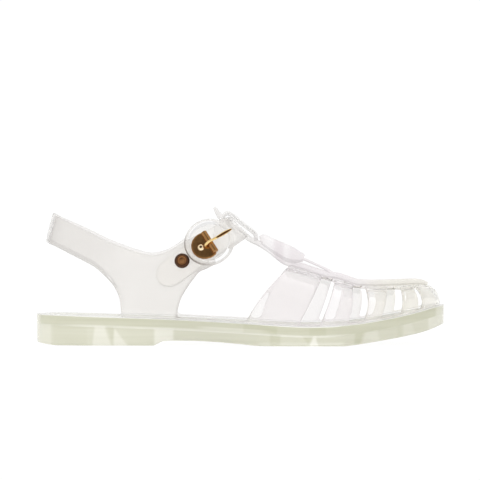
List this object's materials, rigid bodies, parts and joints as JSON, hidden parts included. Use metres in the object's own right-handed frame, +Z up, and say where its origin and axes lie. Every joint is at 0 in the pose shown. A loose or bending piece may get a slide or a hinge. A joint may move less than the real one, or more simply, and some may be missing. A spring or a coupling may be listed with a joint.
{
  "type": "fisherman sandal",
  "caption": "Clear moulded fisherman sandal, right shoe, with a caged vamp, T-bar, heel strap, olive-tinted sole and a round clear buckle with gold fittings.",
  "frame": {"origin": "under the middle of the sole's box, on the floor plane", "axes": "+X toward the toe, +Y toward the medial side, +Z up"},
  "size_m": [0.26, 0.0894, 0.0876],
  "materials": {
    "sole": "clear olive-tinted soft plastic, gloss",
    "upper": "clear soft plastic, gloss",
    "ring": "clear hard plastic, gloss",
    "gold": "polished gold plate",
    "copper": "dark copper plate"
  },
  "bodies": {
    "root": {"sole": "sole", "upper": "upper", "buckle_ring": "ring", "buckle_plate": "gold", "buckle_prong": "gold", "plate_rivet": "gold", "strap_rivet": "copper"}
  },
  "joints": []
}
